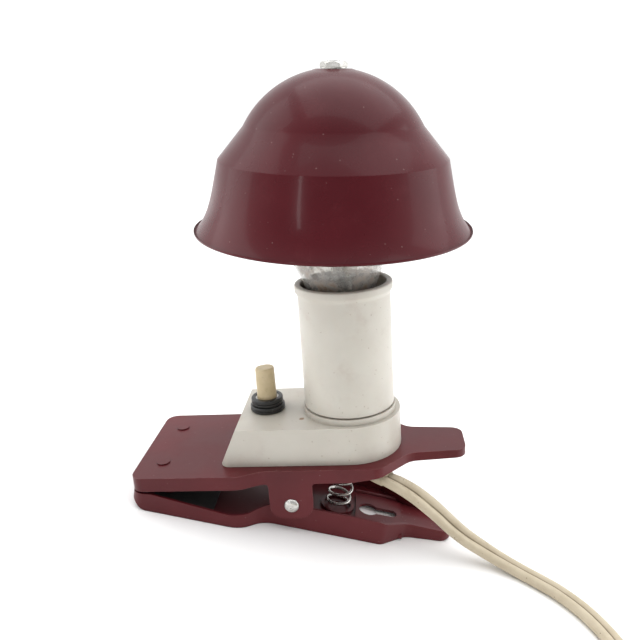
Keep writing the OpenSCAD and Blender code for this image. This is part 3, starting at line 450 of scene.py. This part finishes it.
def cord_sheath(name, light, dark, groove):
    """Old cord sheath: soiling and painted shade in the groove between its two cores, and soiling in patches."""
    r = Recipe(name)
    across = r.node("ShaderNodeAttribute", attribute_name="groove").outputs["Fac"]
    patch = r.noise(55, 5.0, 0.7)
    colour = r.mix(r.ramp(patch, 0.3, 0.7), light, dark)
    patchy = r.ramp(r.noise(110, 4.0), 0.2, 0.6, 0.45, 1.0)
    # Dark colour in the groove between the cores, in patches: soiling and painted shade.
    groove_dirt_and_shade = r.math("MULTIPLY", r.ramp(across, 0.15, 0.9), patchy)
    colour = r.mix(r.math("MULTIPLY", groove_dirt_and_shade, 0.85), colour, groove)
    smudge = r.ramp(r.noise(38, 6.0, 0.75), 0.56, 0.72)
    colour = r.mix(r.math("MULTIPLY", smudge, 0.5), colour, (0.25, 0.19, 0.12))
    specks = r.spots(700, 0.20, 0.14)
    colour = r.mix(r.math("MULTIPLY", specks, 0.8), colour, (0.12, 0.08, 0.05))
    rough = r.ramp(r.noise(80, 4.0), 0.3, 0.7, 0.42, 0.58)
    normal = r.bump(r.noise(420, 3.0), 0.00006, 0.35)
    return r.done(Base_Color=colour, Roughness=rough, Normal=normal)


def fibre(name, light, dark):
    """Pressed board or rubber, with a visible grain."""
    r = Recipe(name)
    grain = r.noise(450, 6.0, 0.7, r.stretched((1, 3, 1)))
    colour = r.mix(r.ramp(grain, 0.3, 0.7), light, dark)
    rough = r.ramp(r.noise(90, 3.0), 0.3, 0.7, 0.7, 0.9)
    return r.done(Base_Color=colour, Roughness=rough, Normal=r.bump(grain, 0.0001, 0.5))


def floor_paint():
    r = Recipe("floor")
    colour = r.mix(r.ramp(r.noise(3, 3.0), 0.3, 0.7), (0.955, 0.955, 0.955), (0.965, 0.965, 0.965))
    return r.done(Base_Color=colour, Roughness=0.85, Specular_IOR_Level=0.1)


paint = {
    "clip_paint": burgundy(
        "clip_paint", (0.082, 0.0085, 0.0115), (0.118, 0.0150, 0.0190), 0.38, 0.10, 0.75,
    ),
    "shade_enamel": shade_enamel(),
    "ivory_plastic": ivory(),
    "cream_plastic": moulded(
        "cream_plastic", (0.60, 0.49, 0.31), (0.51, 0.41, 0.24), (0.25, 0.17, 0.09), 0.42,
    ),
    "black_plastic": moulded(
        "black_plastic", (0.010, 0.010, 0.011), (0.018, 0.018, 0.018), (0.03, 0.028, 0.025), 0.34,
        speck=(0.3, 0.3, 0.28),
    ),
    "brown_bakelite": moulded(
        "brown_bakelite", (0.08, 0.035, 0.02), (0.05, 0.02, 0.012), (0.03, 0.02, 0.015),
        0.35,
    ),
    "pressboard": fibre("pressboard", (0.42, 0.30, 0.17), (0.30, 0.20, 0.11)),
    "pad_rubber": fibre("pad_rubber", (0.022, 0.020, 0.020), (0.012, 0.011, 0.011)),
    "bright_steel": metal("bright_steel", (0.72, 0.71, 0.68), (0.55, 0.54, 0.51), 0.22),
    "spring_steel": metal(
        "spring_steel", (0.66, 0.65, 0.62), (0.42, 0.41, 0.39), 0.24, streak=(3, 3, 3),
    ),
    "brass": metal("brass", (0.72, 0.50, 0.20), (0.55, 0.36, 0.13), 0.28, (0.16, 0.09, 0.03)),
    "porcelain": moulded(
        "porcelain", (0.75, 0.73, 0.68), (0.68, 0.66, 0.60), (0.45, 0.38, 0.28), 0.2,
    ),
    "clear_glass": glass("clear_glass", (0.86, 0.86, 0.83), 0.10),
    "black_glass": moulded(
        "black_glass", (0.010, 0.010, 0.012), (0.015, 0.015, 0.018), (0.03, 0.02, 0.02),
        0.15,
    ),
    "cap_metal": metal("cap_metal", (0.70, 0.68, 0.63), (0.55, 0.53, 0.48), 0.26),
    "solder": metal("solder", (0.55, 0.55, 0.55), (0.42, 0.42, 0.42), 0.35),
    "lead_wire": metal("lead_wire", (0.20, 0.18, 0.16), (0.12, 0.11, 0.10), 0.4),
    "filament_wire": metal("filament_wire", (0.20, 0.20, 0.21), (0.12, 0.12, 0.13), 0.35),
    "brown_lead": moulded(
        "brown_lead", (0.12, 0.05, 0.03), (0.09, 0.04, 0.02), (0.05, 0.03, 0.02), 0.45,
    ),
    "blue_lead": moulded(
        "blue_lead", (0.03, 0.08, 0.22), (0.02, 0.06, 0.17), (0.03, 0.03, 0.04), 0.45,
    ),
    "cord_pvc": cord_sheath(
        "cord_pvc", (0.55, 0.48, 0.355), (0.46, 0.39, 0.275), (0.14, 0.10, 0.06),
    ),
    "plug_plastic": moulded(
        "plug_plastic", (0.66, 0.61, 0.51), (0.58, 0.52, 0.42), (0.35, 0.27, 0.18), 0.38,
    ),
}

# CAD nodes that stay as they are get the material of their own slot
for part in frame["record"]["subparts"]:
    node = nodes[part["node"]]
    node.data.materials.clear()
    node.data.materials.append(paint[part["material_slot"]])
    node.data.polygons.foreach_set("use_smooth", [True] * len(node.data.polygons))
    node.data.set_sharp_from_angle(angle=math.radians(32))


# ---------------------------------------------------------------- cord
CORD_W = 7.9 * MM
CORD_T = 4 * MM
COIL_MID = Vector((84, -136, 0)) * MM
COIL_OUTER = 47.85 * MM
COIL_INNER = 40 * MM
LEVELS = (2 * MM, 6.1 * MM, 10.2 * MM)
COIL_TURNS = 4.25
POINTS_A_TURN = 20

# The route's points: place in millimetres, and how far the broad side turns to the front
cord_route = [
    (9, -5, 37, 0), (17.5, -7.5, 37, 0), (24, -10.5, 33, 0), (30.5, -14.5, 30, 0),
    (36.5, -19, 30, 5), (42, -21, 29.4, 20), (48.5, -21.5, 27, 35), (55, -21.5, 23.4, 45),
    (61, -21, 19.4, 45), (67, -20.5, 15, 42), (74, -20, 10.6, 32), (82, -20, 6.9, 18),
    (90, -21, 4, 6), (99, -24, 2.2, 0), (106, -28, 2, 0), (113, -33, 2, 0),
    (121, -42, 2, 0), (127, -54, 2, 0), (130.9, -70, 2, 0), (131.85, -90, 2, 0),
    (131.85, -115, 2, 0),
]
tail_route = [
    (74, -184.8, 10.2, 0), (64.5, -185.8, 10, 0), (55.5, -184.8, 8.2, 0),
    (47.5, -182, 6.6, 0), (40.5, -178, 6.4, 0), (34, -173, 6.8, 0),
]


def ease(t, start, end):
    s = min(max((t - start) / (end - start), 0), 1)
    return s * s * (3 - 2 * s)


def coil_points():
    """The coil's turns: each crossing to the next column or level takes part of a turn."""
    points = []
    for k in range(int(COIL_TURNS * POINTS_A_TURN) + 1):
        t = k / POINTS_A_TURN
        r = COIL_OUTER + (COIL_INNER - COIL_OUTER) * (ease(t, 0.75, 1.0) - ease(t, 2.4, 2.65))
        z = LEVELS[0] + (LEVELS[1] - LEVELS[0]) * ease(t, 1.5, 1.75)
        z += (LEVELS[2] - LEVELS[1]) * ease(t, 3.3, 3.5)
        a = -2 * math.pi * t
        points.append((COIL_MID.x + r * math.cos(a), COIL_MID.y + r * math.sin(a), z, 0))
    return points


def smooth_line(points, steps):
    """A Catmull-Rom curve through points of any number of values."""
    p = np.array(points, float)
    p = np.vstack([2 * p[0] - p[1], p, 2 * p[-1] - p[-2]])
    out = []
    for i in range(1, len(p) - 2):
        a, b, c, d = p[i - 1], p[i], p[i + 1], p[i + 2]
        for k in range(steps):
            t = k / steps
            out.append(
                0.5 * (2 * b + (c - a) * t + (2 * a - 5 * b + 4 * c - d) * t**2
                       + (3 * b - a - 3 * c + d) * t**3)
            )
    out.append(p[-2])
    return np.array(out)


def broad_sides(line):
    """The up direction of each ring: level where the cord lies, and turned by its own angle."""
    place, turn = line[:, :3], np.radians(line[:, 3])
    step = np.gradient(place, axis=0)
    step /= np.linalg.norm(step, axis=1)[:, None]
    up = np.array([0, 0, 1.0]) - step[:, 2:3] * step
    up /= np.linalg.norm(up, axis=1)[:, None]
    side = np.cross(step, up)
    return np.cos(turn)[:, None] * up + np.sin(turn)[:, None] * side


def twin_section(width, thick, pinch=0.78, steps=8):
    """Two round cores side by side, with a groove between them: (across, up) and groove depth."""
    r = thick / 2
    far = width / 2 - r
    points, depth = [], []
    for s in (1, -1):
        for a in np.linspace(-128, 128, 2 * steps + 1):
            x = s * (far + r * math.cos(math.radians(a)))
            z = s * r * math.sin(math.radians(a))
            points.append((x, z))
            depth.append(max(0.0, 1 - abs(x) / (0.35 * far)))
        points.append((0, s * r * pinch * 0.62))
        depth.append(1.0)
    return points, depth


def make_cord():
    mm = np.array([MM, MM, MM, 1])
    ctrl = np.vstack([np.array(cord_route) * mm, coil_points(), np.array(tail_route) * mm])
    line = smooth_line(ctrl, 4)
    section, depth = twin_section(CORD_W, CORD_T)
    piece = tube("flat_cord", line[:, :3], broad_sides(line), section, sharp=75)
    groove = piece.data.attributes.new("groove", "FLOAT", "POINT")
    groove.data.foreach_set("value", np.tile(depth, len(line)).astype(np.float32))
    finish_piece(piece, LAMP, paint["cord_pvc"], ("cord", "cord_coil"))
    return piece, line[:, :3]


def ribbed_relief(name, at, length, r_from, r_to, ribs):
    """A tapered strain relief with soft ribs, along the frame's Z axis, in millimetres."""
    profile = [(2.2, 0), (r_from - 0.6, 0), (r_from, 0.6)]
    steps = ribs * 10
    for k in range(1, steps):
        u = k / steps
        wave = 0.42 * math.sin(math.pi * ribs * u) ** 2 * (1 if (k // 5) % 2 == 0 else 0.2)
        profile.append((r_from + (r_to - r_from) * u + wave, 0.6 + (length - 0.6) * u))
    profile += [(r_to, length), (2.2, length)]
    return lathe(name, profile, at, 48, sharp=60)


PLUG_AT = Vector((34, -173, 6.8)) * MM
PLUG_TURN = math.radians(143)
RELIEF_L = 24

cord, cord_line = make_cord()
plug_dir = Vector((math.cos(PLUG_TURN), math.sin(PLUG_TURN), 0))
relief_at = axis_frame(PLUG_AT, plug_dir, (0, 0, 1))
relief = ribbed_relief("plug_strain_relief", relief_at, RELIEF_L, 4.4, 5.8, 5)
finish_piece(relief, LAMP, paint["plug_plastic"], ("plug_relief",))
plug = softened("plug_moulding", "plug_body", 1.6 * MM, 4)
finish_piece(plug, LAMP, paint["plug_plastic"], ("plug_body",))
tie = softened("cord_wrap", "cord_tie", 0.3 * MM, 2)
finish_piece(tie, LAMP, paint["black_plastic"], ("cord_tie",))


# ---------------------------------------------------------------- shade
SHADE_R = 54.9
CREASE_R = 44.35
SKIRT_H = 27.7
SHADE_H = 60.2
DOME_R = 38.8
SHEET = 0.7
RIM_DROP = 19.8
BEAD_R = 0.8
FLARE_LINE = 6.2
FLARE_POWER = 5
DOME_TO = 62
FLAT_R = 6.4
FLAT_DROP = 0.45
STUD_HOLE_R = 2.58


def make_shade():
    """The dome, its crease and its flared skirt with a rolled rim, thickened inwards."""
    skirt = [
        (CREASE_R + FLARE_LINE * u + (SHADE_R - 0.15 - CREASE_R - FLARE_LINE) * u**FLARE_POWER,
         SKIRT_H * (1 - u))
        for u in np.linspace(0.985, 0, 48)
    ]
    crown = SHADE_H - DOME_R
    dome = [
        (DOME_R * math.sin(math.radians(a)), crown + DOME_R * math.cos(math.radians(a)))
        for a in np.arange(DOME_TO, 11, -1.5)
    ]
    skirt[-1] = (CREASE_R, SKIRT_H - 0.05)
    top = [(FLAT_R + 0.5, SHADE_H - 0.43)]
    top += [(FLAT_R - 0.4, SHADE_H - FLAT_DROP), (STUD_HOLE_R, SHADE_H - FLAT_DROP)]
    cone = [
        (CREASE_R + (dome[0][0] - CREASE_R) * u, SKIRT_H + (dome[0][1] - SKIRT_H) * u)
        for u in (0.04, 0.35, 0.7)
    ]
    outer = skirt + cone + dome + top
    o = np.array(outer)
    step = np.gradient(o, axis=0)
    step /= np.linalg.norm(step, axis=1)[:, None]
    inner = o + SHEET * np.stack([-step[:, 1], step[:, 0]], axis=1)
    inner = inner[inner[:, 0] > STUD_HOLE_R]
    inner = [tuple(p) for p in inner[::-1]]
    bead = arc(SHADE_R - BEAD_R, BEAD_R, BEAD_R, 185, 385, 15)
    profile = outer + [(STUD_HOLE_R, SHADE_H - FLAT_DROP - SHEET)] + inner[2:] + bead
    at = shade_at @ Matrix.Translation((0, 0, -RIM_DROP * MM))
    piece = lathe("shade_shell", profile, at, 192, sharp=14)
    finish_piece(piece, SHADE, paint["shade_enamel"], ("shade",))


make_shade()

# ---------------------------------------------------------------- bulb
BULB_R = 30
BULB_MID = 75
CAP_TOP = 27
CAP_R = 13.1
GLASS_T = 0.7


def make_bulb():
    """The pear-shaped envelope: a round top that runs into a narrow neck in one smooth line."""
    cone = math.degrees(math.atan(0.42))
    round_part = arc(0, BULB_MID, BULB_R, -cone, 89, 48)
    neck = [(CAP_R - 0.7, CAP_TOP - 1.6), (CAP_R - 0.4, CAP_TOP + 1.6), (15.3, 34)]
    first = round_part[0]
    cone_line = [
        (15.3 + (first[0] - 15.3) * u, 34 + (first[1] - 34) * u) for u in (0.25, 0.5, 0.75)
    ]
    outer = neck + cone_line + round_part + [(0, BULB_MID + BULB_R)]
    inner = [(0, BULB_MID + BULB_R - GLASS_T)]
    for r, z in outer[-2::-1]:
        inner.append((max(r - GLASS_T, 0.02), z - (GLASS_T if z > BULB_MID + 20 else 0)))
    piece = lathe("bulb_envelope", outer + inner, bulb_at, 128, sharp=60)
    finish_piece(piece, BULB, paint["clear_glass"], ("bulb_glass",))


make_bulb()

# ---------------------------------------------------------------- lamp holder
SKIRT_R = 19
LIP_R = 20
LIP_Z = 72
BORE_R = 17.5
SKIRT_BOTTOM = 19.3


def make_holder():
    """The straight skirt with a rolled lip at its mouth and a rounded foot."""
    profile = [(BORE_R, SKIRT_BOTTOM)]
    profile += arc(SKIRT_R - 0.5, SKIRT_BOTTOM + 0.5, 0.5, -90, 0, 5)
    profile += [(SKIRT_R, SKIRT_BOTTOM + 12), (SKIRT_R, 50), (SKIRT_R, LIP_Z - 5.2)]
    profile += [(SKIRT_R + 0.1, LIP_Z - 4.5), (SKIRT_R + 0.45, LIP_Z - 3.9)]
    profile += arc(LIP_R - 0.9, LIP_Z - 2.7, 0.9, -35, 0, 5)
    profile += arc(LIP_R - 0.8, LIP_Z - 0.8, 0.8, 0, 90, 6)
    profile += arc(BORE_R + 0.8, LIP_Z - 0.8, 0.8, 90, 180, 6)
    profile += [(BORE_R, 50), (BORE_R, SKIRT_BOTTOM + 12)]
    piece = lathe("holder_sleeve", profile, lamp_at, 128, sharp=40)
    finish_piece(piece, LAMP, paint["ivory_plastic"], ("holder_skirt",))


make_holder()

housing = softened("housing_cover", "housing", 1.3 * MM, 5, angle=24)
finish_piece(housing, LAMP, paint["ivory_plastic"], ("housing",))

# ---------------------------------------------------------------- switch
BUTTON_R = 4.2
BUTTON_TOP = 35.7
HOUSING_H = 16.3
BUSHING_R = 5


def make_button():
    """The long push button: a slight barrel, a worn rounded top and its shoulder."""
    profile = [(0, 10.1), (5.3, 10.1), (5.3, 12.1), (BUTTON_R, 12.1), (BUTTON_R, 20)]
    profile += [(BUTTON_R - 0.05, 27), (BUTTON_R - 0.12, 32)]
    profile += arc(BUTTON_R - 1.0, BUTTON_TOP - 1.0, 0.88, 5, 88, 7)
    profile += [(1.6, BUTTON_TOP - 0.18), (0, BUTTON_TOP - 0.2)]
    piece = lathe("button_cap", profile, switch_at, 64, closed=False, sharp=50)
    for v in piece.data.vertices:
        local = switch_at.inverted() @ v.co
        angle = math.atan2(local.y, local.x)
        if local.z > (BUTTON_TOP - 1.4) * MM:
            dent = 0.16 * MM * max(0, math.cos(angle - 2.2))
            dent += 0.08 * MM * max(0, math.cos(3 * angle))
            v.co = switch_at @ Vector((local.x, local.y, local.z - dent))
    finish_piece(piece, BUTTON, paint["cream_plastic"], ("push_button",))


def grooved_ring(name, r, r_in, z0, h, grooves, node):
    """A turned ring nut with grooves round its side."""
    profile = [(r_in, z0), (r - 0.5, z0), (r, z0 + 0.5)]
    for k in range(grooves):
        mid = z0 + 0.5 + (h - 1.0) * (k + 0.5) / grooves
        profile += [(r, mid - 0.32), (r - 0.35, mid - 0.12)]
        profile += [(r - 0.35, mid + 0.12), (r, mid + 0.32)]
    profile += [(r, z0 + h - 0.5)] + arc(r - 0.5, z0 + h - 0.5, 0.5, 10, 90, 5) + [(r_in, z0 + h)]
    piece = lathe(name, profile, switch_at, 96, sharp=40)
    finish_piece(piece, LAMP, paint["black_plastic"], (node,))


make_button()
grooved_ring("lock_ring", 7.4, BUSHING_R + 0.05, HOUSING_H, 2.8, 1, "switch_lock_ring")
grooved_ring("ring_nut", 6.8, BUSHING_R + 0.05, HOUSING_H + 2.8, 3.2, 1, "switch_ring_nut")

# ---------------------------------------------------------------- clip
upper = softened("upper_jaw_plate", "upper_jaw", 0.9 * MM, 4, angle=24)
finish_piece(upper, LAMP, paint["clip_paint"], ("upper_jaw",))
lower = softened("lower_jaw_plate", "lower_jaw", 0.5 * MM, 3, angle=24)
finish_piece(lower, JAW, paint["clip_paint"], ("lower_jaw",))


def make_pin_heads():
    """The pivot pin with a domed, dimpled head on each side."""
    low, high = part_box("pivot_pin")
    reach = (high.y - low.y) / 2 / MM
    head_t, head_r, pin_r = 1.4, 3.1, 2.0
    dome = [
        (head_r * math.cos(math.radians(a)), reach - head_t + head_t * math.sin(math.radians(a)))
        for a in np.linspace(0, 72, 10)
    ]
    dimple = [(0.75, reach - 0.18), (0.4, reach - 0.32), (0, reach - 0.36)]
    half = [(pin_r, 0), (pin_r, reach - head_t), (head_r - 0.1, reach - head_t)] + dome + dimple
    profile = [(r, -z) for r, z in half[::-1]] + half[1:]
    piece = lathe("pivot_rivet", profile, pin_at, 48, closed=False, sharp=50)
    finish_piece(piece, LAMP, paint["bright_steel"], ("pivot_pin",))


make_pin_heads()


def helix_spring(name, base, top, r, wire, turns, node, body):
    """A round-wire compression spring along the line from base to top, its end turns closed."""
    base, top = Vector(base), Vector(top)
    at = axis_frame(base, top - base, (1, 0, 0))
    height = (top - base).length
    count = int(turns * 28)
    line, normals = [], []
    for k in range(count + 1):
        u = k / count
        rise = wire + (height - 2 * wire) * ease(u, -0.12, 1.12)
        rise = min(max(rise, wire), height - wire)
        a = 2 * math.pi * turns * u
        line.append(at @ Vector((r * math.cos(a), r * math.sin(a), rise)))
        normals.append(at.to_3x3() @ Vector((0, 0, 1)))
    turns_of_wire = np.linspace(0, 2 * math.pi, 12, False)
    circle = [(wire * math.cos(a), wire * math.sin(a)) for a in turns_of_wire]
    piece = tube(name, [tuple(p) for p in line], [tuple(n) for n in normals], circle)
    finish_piece(piece, body, paint["spring_steel"], (node,))
    return piece


# The clip's spring is anchored under the upper jaw
JAW_SPRING_WIRE = 0.65
low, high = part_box("clip_spring")
spring_r = (high.x - low.x) / 2 - JAW_SPRING_WIRE * MM
spring_x = (low.x + high.x) / 2
spring = helix_spring(
    "jaw_spring", (spring_x, 0, low.z), (spring_x, 0, high.z), spring_r,
    JAW_SPRING_WIRE * MM, 6, "clip_spring", LAMP,
)
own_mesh(spring)

# The button's spring stands in the switch's chamber
CHAMBER_FLOOR = 5.0
SHOULDER_BOTTOM = 10.05
spring_base = switch_at @ Vector((0, 0, CHAMBER_FLOOR * MM))
button_coil = helix_spring(
    "button_coil", spring_base, switch_at @ Vector((0, 0, SHOULDER_BOTTOM * MM)),
    3.4 * MM, 0.3 * MM, 3, "button_spring", LAMP,
)
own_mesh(button_coil)

nut = softened("shade_nut", "shade_hex_nut", 0.25 * MM, 2)
finish_piece(nut, SHADE_CLIP, paint["bright_steel"], ("shade_hex_nut",))


# ---------------------------------------------------------------- floor, light
def make_floor():
    size = 6.0
    verts = [(-size, -size, 0), (size, -size, 0), (size, size, 0), (-size, size, 0)]
    floor = new_piece("floor", [(x, y, z - 0.0002) for x, y, z in verts], [[0, 1, 2, 3]])
    floor.data.materials.append(floor_paint())


def area_light(name, place, target, size, energy, colour=(1, 1, 1)):
    data = bpy.data.lights.new(name, "AREA")
    data.shape = "RECTANGLE"
    data.size, data.size_y = size
    data.energy = energy
    data.color = colour
    light = bpy.data.objects.new(name, data)
    bpy.context.scene.collection.objects.link(light)
    light.location = place
    ahead = (Vector(target) - Vector(place)).normalized()
    light.rotation_euler = ahead.to_track_quat("-Z", "Y").to_euler()


make_floor()
middle = (0, 0, 0.09)
area_light("top_box", (0.0, 0.15, 1.1), middle, (1.4, 1.2), 7.5)
area_light("left_box", (-0.95, 0.1, 0.45), middle, (0.7, 1.0), 3.2)
area_light("right_box", (0.95, 0.1, 0.40), middle, (0.7, 1.0), 3.2)
area_light("left_window", (-0.33, -0.62, 0.20), middle, (0.035, 0.16), 0.16)


def studio_world():
    """A white surround that darkens low towards -Y, so that glossy faces on that side stay dark."""
    world = bpy.data.worlds.new("studio")
    bpy.context.scene.world = world
    world.use_nodes = True
    tree = world.node_tree
    background = tree.nodes["Background"]
    place = tree.nodes.new("ShaderNodeTexCoord")
    facing = tree.nodes.new("ShaderNodeVectorMath")
    facing.operation = "DOT_PRODUCT"
    facing.inputs[1].default_value = (0.0, -0.97, -0.24)
    tree.links.new(place.outputs["Generated"], facing.inputs[0])
    falloff = tree.nodes.new("ShaderNodeMapRange")
    falloff.interpolation_type = "SMOOTHSTEP"
    for name, value in (("From Min", 0.10), ("From Max", 0.80), ("To Min", 1.15), ("To Max", 0.5)):
        falloff.inputs[name].default_value = value
    tree.links.new(facing.outputs["Value"], falloff.inputs["Value"])
    tree.links.new(falloff.outputs["Result"], background.inputs["Strength"])
    background.inputs["Color"].default_value = (1.0, 1.0, 1.0, 1)


studio_world()
bpy.context.scene.view_settings.view_transform = "Standard"
